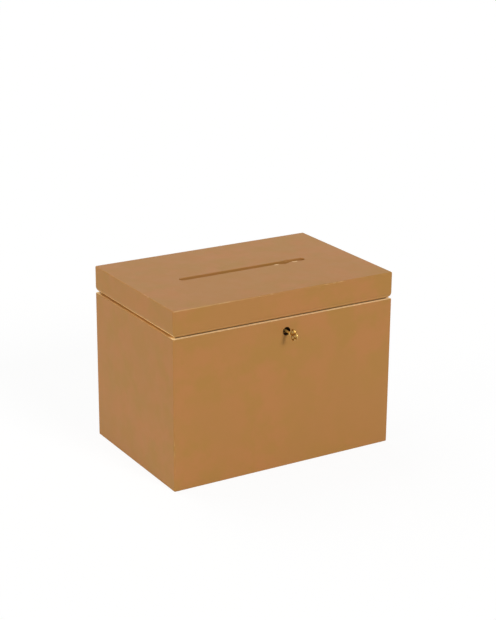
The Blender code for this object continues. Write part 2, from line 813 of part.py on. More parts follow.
def make_strike_plate(hinge_axis, rail):
    """Make the plate inside the lid's front rail, with the two lugs that the bolt holds."""
    low = LID_BOTTOM + STRIKE_ABOVE_SEAM
    high = low + STRIKE_HEIGHT
    strike = make_piece(
        "strike_plate",
        box((-STRIKE_WIDTH / 2, depth(FIT), low), (STRIKE_WIDTH / 2, depth(PLATE_BACK), high)),
        BRASS,
        hinge_axis.location,
        hinge_axis,
    )
    root = low + STRIKE_HEIGHT / 2
    outline = (
        (depth(LUG_FRONT), above_key(LUG_LOW)),
        (depth(LUG_BACK), above_key(LUG_LOW)),
        (depth(LUG_BACK), root),
        (depth(FIT + PLATE / 2), root),
        (depth(FIT + PLATE / 2), low),
        (depth(LUG_FRONT), low),
    )
    eye_front = depth(BOLT_FRONT - EYE_CLEARANCE)
    eye_back = depth(BOLT_BACK + EYE_CLEARANCE)
    for number, middle in enumerate(LUG_PLACES, 1):
        lug = prism(outline, "X", middle - LUG / 2, middle + LUG / 2)
        join(strike, make_tool(f"lug_{number}", lug))
        eye = box(
            (middle - LUG, eye_front, above_key(EYE_LOW)),
            (middle + LUG, eye_back, above_key(EYE_TOP)),
        )
        cut(strike, make_tool(f"lug_eye_{number}", eye))
    offset = (STRIKE_WIDTH + LUG_SPACING + LUG) / 4
    head_top = depth(PLATE_BACK + FIT + SCREW_HEAD_HEIGHT)
    for number, x in enumerate((-offset, offset), 1):
        make_screw(
            f"strike_screw_{number}",
            (x, head_top, low + STRIKE_HEIGHT / 2),
            (0, -1, 0),
            BRASS,
            (strike, rail),
            axis=hinge_axis,
        )
    return strike


def make_key(key_axis):
    """Make the key: shank, collar, bit and a bow of three pierced lobes."""
    bow_y = -DEPTH / 2 - BOW_DISTANCE
    tip = depth(BOLT_FRONT)
    collar_y = bow_y + LOBE_RADIUS + KEY_COLLAR
    profile = (
        (KEY_SHANK_RADIUS, 0.0),
        (KEY_SHANK_RADIUS, tip - collar_y - KEY_COLLAR / 2),
        (KEY_COLLAR_RADIUS, tip - collar_y - KEY_COLLAR / 4),
        (KEY_COLLAR_RADIUS, tip - collar_y + KEY_COLLAR / 4),
        (KEY_SHANK_RADIUS, tip - collar_y + KEY_COLLAR / 2),
        (KEY_SHANK_RADIUS, tip - bow_y - LOBE_RADIUS + LOBE_HOLE_RADIUS / 2),
        (BOW / 2, tip - bow_y - LOBE_HOLE_RADIUS),
    )
    place = (0.0, tip, KEY_HEIGHT)
    key = make_piece(
        "key", lathe(profile, place, (0, -1, 0)), BRASS, key_axis.location, key_axis
    )
    bit = box(
        (-BIT / 2, depth(BIT_END - BIT_LENGTH), above_key(-BIT_REACH)),
        (BIT / 2, depth(BIT_END), KEY_HEIGHT),
    )
    join(key, make_tool("key_bit", bit))
    lobes = (
        (bow_y, KEY_HEIGHT + LOBE_SPREAD),
        (bow_y, KEY_HEIGHT - LOBE_SPREAD),
        (bow_y - END_LOBE_OFFSET, KEY_HEIGHT),
    )
    for number, centre in enumerate(lobes, 1):
        lobe = prism(circle(LOBE_RADIUS, centre), "X", -BOW / 2, BOW / 2)
        join(key, make_tool(f"key_lobe_{number}", lobe))
    for number, centre in enumerate(lobes, 1):
        hole = prism(circle(LOBE_HOLE_RADIUS, centre), "X", -BOW, BOW)
        cut(key, make_tool(f"key_lobe_hole_{number}", hole))
    return key


def make_envelope_box():
    """Build every piece in its place, with the lid shut and the lock open."""
    clear_scene()
    hinge_axis = make_axis("lid_hinge_axis", (0.0, HINGE_Y, HINGE_Z))
    key_axis = make_axis("key_axis", (0.0, WALL_FACE, KEY_HEIGHT))
    walls = make_body_walls()
    make_bottom_panel()
    rails = make_lid_rails(hinge_axis)
    make_lid_panel(hinge_axis)
    make_hinge("left", -HINGE_X, walls["back"], rails["back"], hinge_axis)
    make_hinge("right", HINGE_X, walls["back"], rails["back"], hinge_axis)
    plate = make_lock_plate()
    case = make_lock_case()
    make_lock_screws(plate, case, walls["front"])
    make_lock_hub(key_axis)
    make_lock_bolt()
    make_bolt_spring()
    make_strike_plate(hinge_axis, rails["front"])
    make_key(key_axis)


make_envelope_box()
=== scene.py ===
"""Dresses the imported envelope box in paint, brass and steel, and sets its light and camera."""

import math
from types import SimpleNamespace

import bmesh
import bpy
from mathutils import Matrix, Vector


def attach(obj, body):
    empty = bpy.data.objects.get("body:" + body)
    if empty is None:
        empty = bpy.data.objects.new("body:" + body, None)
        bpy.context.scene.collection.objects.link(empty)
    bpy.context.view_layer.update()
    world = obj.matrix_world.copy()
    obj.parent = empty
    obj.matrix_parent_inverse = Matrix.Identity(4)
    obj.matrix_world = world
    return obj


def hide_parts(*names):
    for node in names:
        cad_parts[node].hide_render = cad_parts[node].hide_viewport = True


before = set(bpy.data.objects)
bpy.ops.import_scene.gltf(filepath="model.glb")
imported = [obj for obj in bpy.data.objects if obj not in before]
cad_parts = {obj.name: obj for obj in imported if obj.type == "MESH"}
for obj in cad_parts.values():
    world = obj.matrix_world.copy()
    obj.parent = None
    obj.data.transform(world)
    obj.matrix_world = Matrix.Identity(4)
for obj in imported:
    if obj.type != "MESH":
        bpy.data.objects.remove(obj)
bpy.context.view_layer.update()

# The box's sizes in metres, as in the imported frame
WIDTH = 0.305
DEPTH = 0.203
HEIGHT = 0.224
BODY_TOP = 0.190
LID_LOW = 0.1904
WALL = 0.009
WALL_FACE = -0.0925
LID_PANEL = 0.009
BOTTOM_PANEL = 0.005
BOTTOM_REBATE = 0.0042
GLUE_GAP = 0.0003
CORNER_RADIUS = 0.002
INNER_RADIUS = 0.0004
LID_CHAMFER = 0.0043
SLOT_LENGTH = 0.178
SLOT_WIDTH = 0.009
KEYHOLE_RADIUS = 0.005
KEY_HEIGHT = 0.174

# The radii that round the painted shells' edges
FOOT_ROUND = 0.0008
RIM_ROUND = 0.0015
TOP_ROUND = 0.0015
INNER_ROUND = 0.0005
REBATE_ROUND = 0.0003
LIP_UPPER_ROUND = 0.0082
LIP_LOWER_ROUND = 0.0055
SLOT_ROUND = 0.0006
KEYHOLE_ROUND = 0.0004

# The inset at which the lid's edge gives way to one flat face on top
TOP_INSET = 0.004

# The hinges' beds, cut into both shells
HINGE_X = 0.0975
HINGE_Y = 0.09892
HINGE_Z = 0.1902
HINGE_HALF = 0.0133
HINGE_BED_Y = 0.0932
HINGE_BED = 0.0013
SCALLOP_RADIUS = 0.0022

# The key
KEY_TIP_Y = -0.089
TIP_ROUND = 0.0004
SHANK_RADIUS = 0.0015
SHANK_INTO_BOW = 0.0004
COLLAR_RADIUS = 0.0027
COLLAR_Y = -0.1105
BOW_Y = -0.1167
BOW_THICKNESS = 0.0022
LOBE_SPREAD = 0.0034
END_LOBE_OFFSET = 0.0052
LOBE_RADIUS = 0.0042
LOBE_HOLE_RADIUS = 0.0019
LOBES = (
    (0.0, BOW_Y, KEY_HEIGHT + LOBE_SPREAD),
    (0.0, BOW_Y, KEY_HEIGHT - LOBE_SPREAD),
    (0.0, BOW_Y - END_LOBE_OFFSET, KEY_HEIGHT),
)
BIT_HALF = 0.00055
BIT_START = -0.0916
BIT_END = -0.0899
BIT_REACH = 0.0029

# The collar's turned rings: radius, and distance past the collar's middle
COLLAR_RINGS = (
    (SHANK_RADIUS, -0.0014),
    (SHANK_RADIUS + 0.0003, -0.0011),
    (COLLAR_RADIUS, -0.0006),
    (COLLAR_RADIUS, 0.0003),
    (SHANK_RADIUS + 0.0002, 0.0008),
    (SHANK_RADIUS, 0.0010),
)

# The web between the lobes; its thickness and place are shares of the bow's and the end lobe's
WEB_RADIUS = 0.0022
WEB_EDGE_RADIUS = 0.0018
WEB_THICKNESS = 0.6
WEB_PLACE = 0.35

# Where the slot's front edge is torn: place, spread, and how far it stands into the slot
TEARS = (
    (0.0450, 0.0035, 0.0014),
    (0.0565, 0.0055, -0.0030),
    (0.0705, 0.0060, 0.0018),
)

# How finely shapes are cut, cast and shaded
CORNER_STEPS = 8
FILLET_STEPS = 6
EDGE_STEPS = 96
ROUND_SEGMENTS = 64
CHIP_SUBDIVISIONS = 4
KEY_VOXEL = 0.00025
SOFTEN_SHARE = 0.5
SOFTEN_ROUNDS = 3
SHARP_DEGREES = 40
BEVEL_DEGREES = 35
WELD_DISTANCE = 0.000005

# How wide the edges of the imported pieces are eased
SCREW_EASE = 0.00008
STEEL_EASE = 0.0001
SHEET_EASE = 0.00015
BOARD_EASE = 0.0003

# The camera, as fitted to the photograph: angles in degrees, lens in millimetres
CAMERA_AZIMUTH = -30.996
CAMERA_ELEVATION = 18.721
CAMERA_ROLL = 0.396
CAMERA_LENS = 93.23
CAMERA_SENSOR = 36.0
CAMERA_PLACE = (-0.96466, -1.61791, 0.80904)
CAMERA_NEAR = 0.05
CAMERA_FAR = 60.0

# Lamps: name, azimuth, elevation and width in degrees, level and tint
WHITE = (1.0, 1.0, 1.0)
LAMPS = (
    ("key_light", 11, 29, 18, 0.595, WHITE),
    ("left_light", -95, 10, 40, 0.45, (1.0, 0.96, 0.72)),
    ("back_light", 195, 52, 45, 0.345, WHITE),
)
LAMP_DISTANCE = 2.0
WORLD_LEVEL = 0.22
FLOOR_HALF = 15.0
FLOOR_GLOW = 1.015


def fillet(before, corner, after, radius):
    """Round one corner of a line of points in a plane."""
    corner = Vector(corner)
    inward = (Vector(before) - corner).normalized()
    outward = (Vector(after) - corner).normalized()
    turn = math.pi - inward.angle(outward)
    reach = radius * math.tan(turn / 2)
    middle = (inward + outward).normalized()
    centre = corner + middle * radius / math.cos(turn / 2)
    first = corner + inward * reach - centre
    last = corner + outward * reach - centre
    points = []
    for i in range(FILLET_STEPS + 1):
        share = i / FILLET_STEPS
        weight = math.sin(share * turn) / math.sin(turn)
        rest = math.sin((1 - share) * turn) / math.sin(turn)
        points.append(tuple(centre + first * rest + last * weight))
    return points


def rounded_profile(corners, closed):
    """Turn (inset, height, fillet radius) corners into a line of (inset, height) points."""
    points = []
    count = len(corners)
    for i, (inset, height, radius) in enumerate(corners):
        if radius == 0 or (not closed and i in (0, count - 1)):
            points.append((inset, height))
            continue
        before = corners[i - 1][:2]
        after = corners[(i + 1) % count][:2]
        points += fillet(before, (inset, height), after, radius)
    return points


def plan(inset):
    """List the corners of the box's plan at an inset from its outline."""
    radius = max(CORNER_RADIUS - inset, INNER_RADIUS)
    half_x = WIDTH / 2 - inset - radius
    half_y = DEPTH / 2 - inset - radius
    points = []
    for quarter, (side_x, side_y) in enumerate(((1, 1), (-1, 1), (-1, -1), (1, -1))):
        for i in range(CORNER_STEPS + 1):
            turn = math.pi / 2 * (quarter + i / CORNER_STEPS)
            x = side_x * half_x + radius * math.cos(turn)
            y = side_y * half_y + radius * math.sin(turn)
            points.append((x, y))
    return points


def join_rings(shape, rings, closed):
    """Draw the faces between rings of vertices."""
    pairs = list(zip(rings, rings[1:]))
    if closed:
        pairs.append((rings[-1], rings[0]))
    for ring, following in pairs:
        for i in range(len(ring)):
            j = (i + 1) % len(ring)
            shape.faces.new((ring[i], ring[j], following[j], following[i]))
    if not closed:
        shape.faces.new(list(reversed(rings[0])))
        shape.faces.new(rings[-1])


def shell(profile, closed):
    """Sweep a profile round the box's plan."""
    shape = bmesh.new()
    rings = [
        [shape.verts.new((x, y, height)) for x, y in plan(inset)]
        for inset, height in profile
    ]
    join_rings(shape, rings, closed)
    return shape


def lathe(profile, place, heading, closed=False):
    """Turn (radius, distance) points about a line that leaves a place in a heading."""
    shape = bmesh.new()
    turns = [math.tau * i / ROUND_SEGMENTS for i in range(ROUND_SEGMENTS)]
    rings = [
        [
            shape.verts.new((radius * math.cos(turn), radius * math.sin(turn), distance))
            for turn in turns
        ]
        for radius, distance in profile
    ]
    join_rings(shape, rings, closed)
    turn = Vector(heading).to_track_quat("Z", "X").to_matrix().to_4x4()
    shape.transform(Matrix.Translation(place) @ turn)
    return shape


def block(low, high):
    """Draw a rectangular block between two opposite corners."""
    shape = bmesh.new()
    size = Vector(high) - Vector(low)
    middle = (Vector(high) + Vector(low)) / 2
    bmesh.ops.create_cube(shape, size=1.0)
    shape.transform(Matrix.Translation(middle) @ Matrix.Diagonal((*size, 1.0)))
    return shape


def eased_hole(radius, ease, length):
    """List (radius, distance) points of a hole whose rim is rounded where it starts."""
    points = [(radius + ease, -ease)]
    for i in range(FILLET_STEPS + 1):
        turn = math.pi / 2 * i / FILLET_STEPS
        points.append((radius + ease * (1 - math.sin(turn)), ease * (1 - math.cos(turn))))
    points.append((radius, length))
    return points


def torn(x):
    """Give how far the slot's front edge stands into the slot at a place along it."""
    return sum(
        reach * math.exp(-(((x - middle) / spread) ** 2)) for middle, spread, reach in TEARS
    )


def slot_cutter():
    """Draw the envelope slot, with a rounded rim on the lid's top and under it."""
    half = eased_hole(SLOT_WIDTH / 2, SLOT_ROUND, LID_PANEL / 2)
    levels = [(radius, HEIGHT - distance) for radius, distance in half]
    levels += [
        (radius, HEIGHT - LID_PANEL + distance) for radius, distance in reversed(half[:-1])
    ]
    reach = (SLOT_LENGTH - SLOT_WIDTH) / 2
    end_steps = ROUND_SEGMENTS // 2
    shape = bmesh.new()
    rings = []
    for radius, height in levels:
        ring = []
        for side in (1, -1):
            for i in range(end_steps + 1):
                turn = math.pi * i / end_steps - math.pi / 2
                x = side * (reach + radius * math.cos(turn))
                y = side * radius * math.sin(turn)
                ring.append(shape.verts.new((x, y, height)))
        for i in range(1, EDGE_STEPS):
            x = reach * (2 * i / EDGE_STEPS - 1)
            ring.append(shape.verts.new((x, torn(x) - radius, height)))
        rings.append(ring)
    join_rings(shape, rings, False)
    return shape


def chip_cutter(centre, radii):
    """Draw an uneven flat scoop to cut from an edge."""
    shape = bmesh.new()
    bmesh.ops.create_icosphere(shape, subdivisions=CHIP_SUBDIVISIONS, radius=1.0)
    for vert in shape.verts:
        x, y, z = vert.co
        broad = 0.07 * math.sin(9 * x + 5 * y)
        fine = 0.05 * math.sin(17 * y - 11 * x + 4 * z)
        vert.co *= 1 + broad + fine
    shape.transform(Matrix.Translation(centre) @ Matrix.Diagonal((*radii, 1.0)))
    return shape


def hinge_cutters(level):
    """Draw the beds at a level and the round recesses for both hinges."""
    shapes = []
    for side in (-1, 1):
        start = side * HINGE_X - HINGE_HALF
        end = side * HINGE_X + HINGE_HALF
        low = (start, HINGE_BED_Y, level - HINGE_BED)
        high = (end, HINGE_Y, level + HINGE_BED)
        shapes.append(block(low, high))
        scallop = [(SCALLOP_RADIUS, 0.0), (SCALLOP_RADIUS, 2 * HINGE_HALF)]
        shapes.append(lathe(scallop, (start, HINGE_Y, HINGE_Z), (1, 0, 0)))
    return shapes


def mesh_of(name, shape):
    """Finish a bmesh as a mesh whose faces look out."""
    bmesh.ops.recalc_face_normals(shape, faces=shape.faces)
    mesh = bpy.data.meshes.new(name)
    shape.to_mesh(mesh)
    shape.free()
    return mesh


def new_object(name, data):
    """Put an object with some data into the scene."""
    obj = bpy.data.objects.new(name, data)
    bpy.context.scene.collection.objects.link(obj)
    return obj


def new_solid(name, shape):
    """Put a bmesh into the scene as an object."""
    return new_object(name, mesh_of(name, shape))


def bake(obj):
    """Apply an object's modifiers to its mesh."""
    graph = bpy.context.evaluated_depsgraph_get()
    mesh = bpy.data.meshes.new_from_object(obj.evaluated_get(graph))
    old = obj.data
    obj.modifiers.clear()
    obj.data = mesh
    bpy.data.meshes.remove(old)


def cut(obj, shapes):
    """Cut shapes from an object and apply the result."""
    tools = []
    for i, shape in enumerate(shapes):
        tool = new_solid(f"{obj.name}_tool_{i}", shape)
        modifier = obj.modifiers.new(tool.name, "BOOLEAN")
        modifier.operation = "DIFFERENCE"
        modifier.solver = "EXACT"
        modifier.object = tool
        tools.append(tool)
    bake(obj)
    for tool in tools:
        bpy.data.objects.remove(tool)


def smooth(obj):
    """Shade round faces smoothly and keep flat faces flat."""
    obj.data.shade_smooth()
    obj.data.set_sharp_from_angle(angle=math.radians(SHARP_DEGREES))
    modifier = obj.modifiers.new("flat_faces", "WEIGHTED_NORMAL")
    modifier.keep_sharp = True


class Nodes:
    """Builds the nodes of a material or a world with short calls."""

    def __init__(self, owner):
        owner.use_nodes = True
        self.owner = owner
        self.tree = owner.node_tree

    def named(self, name):
        """Give one of the nodes that the tree starts with."""
        return self.tree.nodes[name]

    def add(self, kind, **settings):
        """Add a node with some settings."""
        node = self.tree.nodes.new(kind)
        for name, value in settings.items():
            setattr(node, name, value)
        return node

    def feed(self, socket, value):
        """Put a number, a colour or another node's output into a socket."""
        if isinstance(value, bpy.types.NodeSocket):
            self.tree.links.new(value, socket)
        else:
            socket.default_value = value

    def set(self, name, value):
        """Feed one of the shader's sockets."""
        self.feed(self.named("Principled BSDF").inputs[name], value)

    def math(self, operation, *values, clamp=False):
        """Work out one number from others."""
        node = self.add("ShaderNodeMath", operation=operation, use_clamp=clamp)
        for socket, value in zip(node.inputs, values):
            self.feed(socket, value)
        return node.outputs[0]

    def times(self, first, second):
        """Multiply two numbers."""
        return self.math("MULTIPLY", first, second)

    def vector(self, operation, *values, output="Vector"):
        """Work out a vector from others, or with the output Value a number."""
        node = self.add("ShaderNodeVectorMath", operation=operation)
        for socket, value in zip(node.inputs, values):
            self.feed(socket, value)
        return node.outputs[output]

    def split(self, place):
        """Split a place into its X, Y and Z."""
        node = self.add("ShaderNodeSeparateXYZ")
        self.feed(node.inputs[0], place)
        return node.outputs

    def ramp(self, value, low, high, start=0.0, end=1.0):
        """Map a range of values smoothly onto another."""
        node = self.add("ShaderNodeMapRange", interpolation_type="SMOOTHSTEP")
        self.feed(node.inputs["Value"], value)
        node.inputs["From Min"].default_value = low
        node.inputs["From Max"].default_value = high
        node.inputs["To Min"].default_value = start
        node.inputs["To Max"].default_value = end
        return node.outputs["Result"]

    def mix(self, share, first, second):
        """Mix a share of the second colour into the first."""
        node = self.add("ShaderNodeMix", data_type="RGBA")
        self.feed(node.inputs[0], share)
        self.feed(node.inputs[6], first)
        self.feed(node.inputs[7], second)
        return node.outputs[2]

    def place(self):
        """Give the place on the object, which moves with it."""
        return self.add("ShaderNodeTexCoord").outputs["Object"]

    def stretched(self, place, scale):
        """Scale a place along each axis."""
        node = self.add("ShaderNodeMapping")
        self.feed(node.inputs["Vector"], place)
        node.inputs["Scale"].default_value = scale
        return node.outputs["Vector"]

    def noise(self, place, scale, detail=3.0, roughness=0.5):
        """Give smooth noise from 0 to 1."""
        node = self.add("ShaderNodeTexNoise")
        self.feed(node.inputs["Vector"], place)
        node.inputs["Scale"].default_value = scale
        node.inputs["Detail"].default_value = detail
        node.inputs["Roughness"].default_value = roughness
        return node.outputs["Fac"]

    def bump(self, height, distance, strength=1.0, under=None):
        """Bump the surface, over another bump where there is one."""
        node = self.add("ShaderNodeBump")
        self.feed(node.inputs["Height"], height)
        node.inputs["Distance"].default_value = distance
        node.inputs["Strength"].default_value = strength
        if under is not None:
            self.feed(node.inputs["Normal"], under)
        return node.outputs["Normal"]

    def seen(self):
        """Give 1 to rays from the camera, off shiny faces and through glass, and 0 to others."""
        path = self.add("ShaderNodeLightPath")
        straight = path.outputs["Is Camera Ray"]
        glossy = path.outputs["Is Glossy Ray"]
        through = path.outputs["Is Transmission Ray"]
        return self.math("MAXIMUM", straight, self.math("MAXIMUM", glossy, through))


def new_material(name):
    """Start a material."""
    return Nodes(bpy.data.materials.new(name))


def colour(red, green, blue):
    """Turn an sRGB colour of 0 to 255 into the linear one that a shader takes."""
    linear = []
    for value in (red, green, blue):
        value /= 255
        linear.append(value / 12.92 if value <= 0.04045 else ((value + 0.055) / 1.055) ** 2.4)
    return (*linear, 1.0)


PAINT = colour(172, 121, 65)
PAINT_WARM = colour(177, 121, 68)
PAINT_OLIVE = colour(169, 122, 61)
BARE_WOOD = colour(246, 216, 164)
# Pale wood's colour, used as painted light on the shaded rim and the lid's lower edge
PAINTED_LIGHT_WOOD = colour(255, 210, 142)
# Painted shade in the keyhole's bore
BORE_SHADE = colour(48, 28, 12)
# Painted shade in the groove under the lid
GROOVE_SHADE = colour(86, 38, 4)
BRASS = colour(198, 158, 78)
BRASS_PATINA = colour(128, 90, 30)
# Darker brass round the rims of the holes in the key's bow
BRASS_RIM_DARK = colour(92, 60, 14)
# Paler brass: painted light on the key's shank towards and inside the keyhole
LIT_MATT_BRASS = colour(240, 190, 104)
# Dark brass: painted shade on the lock parts seen in the keyhole
KEYHOLE_SHADE_BRASS = colour(62, 42, 20)
KEYHOLE_SHADE_BRASS_SPOTS = colour(104, 76, 38)
STEEL = colour(170, 168, 164)
STEEL_LINES = colour(196, 194, 190)

# The places between which the key's shank turns matt, and paler with painted light
LIT_MATT_SHANK = (-0.109, -0.107)

# How far past the rim of a hole in the key's bow its darker brass is full, starts to fade and
# ends
HOLE_DARK_FULL = 0.0003
HOLE_DARK_FADES = 0.0005
HOLE_DARK_ENDS = 0.001

# Where the paint is worn or has light and shade painted on it: each pair is where a change starts
# and ends
EDGE_WEAR = (0.0004, 0.0016)
FRONT_HIGHLIGHT = (-0.15, 0.02)
GROOVE_INSET = (LID_CHAMFER + 0.0008, LID_CHAMFER + 0.0014)
MITRE = (0.0, 0.0004)
PALE_HEIGHT = 0.1895
RIM_PALE = (PALE_HEIGHT, PALE_HEIGHT + 0.0003)
RIM_SIDE_LIGHT = (PALE_HEIGHT - 0.0004, PALE_HEIGHT + 0.0003)
RIM_CORNER = (0.006, 0.016)
RIM_SHADE_START = (0.0038, 0.0046)
RIM_SHADE_END = (0.0054, 0.0062)
SEAM_SHADE = (LID_LOW, LID_LOW + 0.0006)
SEAM_LIGHT = (LID_LOW + 0.0032, LID_LOW + 0.0046)
SEAM_UNDERSIDE = (LID_LOW + 0.0001, LID_LOW + 0.0004)
SEAM_INSET = (LID_CHAMFER + 0.0002, LID_CHAMFER + 0.0007)
BORE_RIM = (KEYHOLE_RADIUS + 0.0001, KEYHOLE_RADIUS + 0.0004)
BORE_END = (WALL_FACE - 0.002, WALL_FACE)

# Chips along the slot's edges: centre, radii, and whether the pale wood shows
CHIPS = (
    ((0.0450, -0.0042, 0.2241), (0.0032, 0.0022, 0.0006), True),
    ((0.0722, -0.0040, 0.2241), (0.0036, 0.0024, 0.0007), True),
    ((0.0815, -0.0044, 0.2240), (0.0034, 0.0016, 0.0020), False),
    ((0.0655, 0.0046, 0.2240), (0.0036, 0.0012, 0.0015), False),
)


def painted_places(nodes):
    """Measure where a point of the painted box lies, for its worn and soiled places.

    In the groove at both sides, up to the mitres, at_side is 1, and elsewhere is 1 minus that.
    """
    point = nodes.place()
    x, y, z = nodes.split(point)
    from_side_x = nodes.math("SUBTRACT", WIDTH / 2, nodes.math("ABSOLUTE", x))
    from_side_y = nodes.math("SUBTRACT", DEPTH / 2, nodes.math("ABSOLUTE", y))
    groove = nodes.ramp(from_side_x, *GROOVE_INSET, 1.0, 0.0)
    mitred = nodes.ramp(nodes.math("SUBTRACT", from_side_y, from_side_x), *MITRE)
    at_side = nodes.times(groove, mitred)
    return SimpleNamespace(
        point=point,
        x=x,
        y=y,
        z=z,
        from_side_x=from_side_x,
        from_side_y=from_side_y,
        from_side=nodes.math("MINIMUM", from_side_x, from_side_y),
        from_top=nodes.math("SUBTRACT", HEIGHT, z),
        at_side=at_side,
        elsewhere=nodes.math("SUBTRACT", 1.0, at_side),
    )


def mottled_paint(nodes, at):
    """Give the paint's softly mottled colour."""
    mottle = nodes.noise(at.point, 26, detail=4, roughness=0.6)
    patches = nodes.noise(at.point, 9, detail=2)
    base = nodes.mix(nodes.ramp(mottle, 0.35, 0.65), PAINT_WARM, PAINT_OLIVE)
    return nodes.mix(nodes.ramp(patches, 0.4, 0.7), base, PAINT)


def rub_and_highlight_edges(nodes, at, base):
    """Rub outer edges here and there, and paint a highlight on the lid's upper front edge, most
    at left.
    """
    upright = nodes.math("MAXIMUM", at.from_side_x, at.from_side_y)
    round_top = nodes.math("MAXIMUM", at.from_side, at.from_top)
    near = nodes.ramp(nodes.math("MINIMUM", upright, round_top), *EDGE_WEAR, 1.0, 0.0)
    broken = nodes.noise(at.point, 30, detail=5, roughness=0.7)
    pale_share = nodes.ramp(broken, 0.52, 0.68, 0.0, 0.28)
    base = nodes.mix(nodes.times(near, pale_share), base, BARE_WOOD)
    # A painted highlight along the lid's upper front edge, strongest at its left end
    from_front = nodes.math("ADD", at.y, DEPTH / 2)
    from_edge = nodes.math("MAXIMUM", from_front, at.from_top)
    front_edge = nodes.ramp(from_edge, *EDGE_WEAR, 1.0, 0.0)
    highlight_share = nodes.ramp(at.x, *FRONT_HIGHLIGHT, 0.2, 0.0)
    return nodes.mix(nodes.times(front_edge, highlight_share), base, BARE_WOOD)


def rim_wear_light_shade(nodes, at, base):
    """Wear the body's rim and paint light and shade on it; give its colour and the share of
    shade.

    The paint is off down to the pale wood, but in the groove at both sides, away from the
    corners, only a little pale colour shows, painted light on the shaded ledge. A dark band along
    the front and back is painted shade, where the groove is deepest.
    """
    corner = nodes.ramp(at.from_side_y, *RIM_CORNER, 1.0, 0.0)
    broken = nodes.ramp(nodes.noise(at.point, 55, detail=3), 0.25, 0.6, 0.85, 1.0)
    upper = nodes.ramp(at.z, *RIM_PALE)
    bare = nodes.times(upper, nodes.math("MAXIMUM", at.elsewhere, corner))
    # A little pale colour: painted light on the shaded ledge in the groove at both sides
    side_light = nodes.times(nodes.ramp(at.z, *RIM_SIDE_LIGHT, 0.0, 0.28), at.at_side)
    base = nodes.mix(side_light, base, PAINTED_LIGHT_WOOD)
    base = nodes.mix(nodes.times(bare, broken), base, BARE_WOOD)
    # A dark band along the front and back of the rim: painted shade in the groove
    start = nodes.ramp(at.from_side_y, *RIM_SHADE_START)
    end = nodes.ramp(at.from_side_y, *RIM_SHADE_END, 1.0, 0.0)
    shade_share = nodes.times(nodes.times(nodes.times(start, end), upper), at.elsewhere)
    return nodes.mix(shade_share, base, GROOVE_SHADE), shade_share


def seam_wear_light_shade(nodes, at, base):
    """Paint light and shade on the lid's lower edge, wear it, and give its colour and share of
    shade.

    A pale line of painted light lies on it a little all round, and more at both sides, most
    towards the front. Painted shade lies on it but for the groove at both sides. It is bare on
    its flat underside.
    """
    # Painted shade on the lid's lower edge, but for the groove at both sides
    shade_share = nodes.times(nodes.ramp(at.z, *SEAM_SHADE, 0.4, 0.0), at.elsewhere)
    # Painted light: a pale line on the lid's lower edge, more at both sides towards the front
    pale_share = nodes.ramp(at.z, *SEAM_LIGHT, 0.95, 0.0)
    fading = nodes.ramp(at.y, -DEPTH / 2, DEPTH / 2, 1.0, 0.45)
    share = nodes.math("MAXIMUM", nodes.times(at.at_side, fading), 0.2)
    base = nodes.mix(nodes.times(pale_share, share), base, PAINTED_LIGHT_WOOD)
    underside = nodes.ramp(at.z, *SEAM_UNDERSIDE, 0.9, 0.0)
    within = nodes.ramp(at.from_side, *SEAM_INSET)
    base = nodes.mix(nodes.times(underside, within), base, BARE_WOOD)
    return nodes.mix(shade_share, base, GROOVE_SHADE), shade_share


def paint_bore_shade(nodes, at, base):
    """Paint shade into the keyhole's bore."""
    across = nodes.math("POWER", at.x, 2.0)
    upward = nodes.math("POWER", nodes.math("SUBTRACT", at.z, KEY_HEIGHT), 2.0)
    radius = nodes.math("SQRT", nodes.math("ADD", across, upward))
    inside = nodes.ramp(radius, *BORE_RIM, 1.0, 0.0)
    front = nodes.ramp(at.y, *BORE_END, 1.0, 0.0)
    return nodes.mix(nodes.times(inside, front), base, BORE_SHADE)


def bare_chips(nodes, at, base):
    """Show the pale wood in the chips that are down to it."""
    for centre, radii, pale in CHIPS:
        if pale:
            offset = nodes.vector("SUBTRACT", at.point, centre)
            scaled = nodes.vector("DIVIDE", offset, radii)
            away = nodes.vector("LENGTH", scaled, output="Value")
            base = nodes.mix(nodes.ramp(away, 1.0, 1.15, 1.0, 0.0), base, BARE_WOOD)
    return base


def paint_with(nodes, at, base, shade_share):
    """Make satin paint of a colour, with brushed bumps; where shade is painted on, it doesn't
    shine.
    """
    nodes.set("Base Color", base)
    fine = nodes.noise(at.point, 1500, detail=2)
    satin = nodes.ramp(nodes.noise(at.point, 60, detail=4), 0.3, 0.7, 0.5, 0.54)
    nodes.set("Roughness", satin)
    brush = nodes.noise(nodes.stretched(at.point, (1.0, 1.0, 7.0)), 160, detail=3)
    waves = nodes.bump(brush, 0.00001, strength=0.5)
    nodes.set("Normal", nodes.bump(fine, 0.000012, strength=0.5, under=waves))
    nodes.set("IOR", 1.45)
    # Where shade is painted, the paint doesn't shine
    unshaded = nodes.math("SUBTRACT", 1.0, shade_share, clamp=True)
    nodes.set("Specular IOR Level", nodes.times(unshaded, 0.26))
    return nodes.owner


def body_paint():
    """Make the body's paint: worn edges and rim, painted light and shade on the rim and shade in
    the bore.
    """
    nodes = new_material("body_paint")
    at = painted_places(nodes)
    base = rub_and_highlight_edges(nodes, at, mottled_paint(nodes, at))
    base, shade_share = rim_wear_light_shade(nodes, at, base)
    return paint_with(nodes, at, paint_bore_shade(nodes, at, base), shade_share)


def lid_paint():
    """Make the lid's paint: worn edges and seam, painted light and shade on them, pale chips at
    the slot.
    """
    nodes = new_material("lid_paint")
    at = painted_places(nodes)
    base = rub_and_highlight_edges(nodes, at, mottled_paint(nodes, at))
    base, shade_share = seam_wear_light_shade(nodes, at, base)
    return paint_with(nodes, at, bare_chips(nodes, at, base), shade_share)


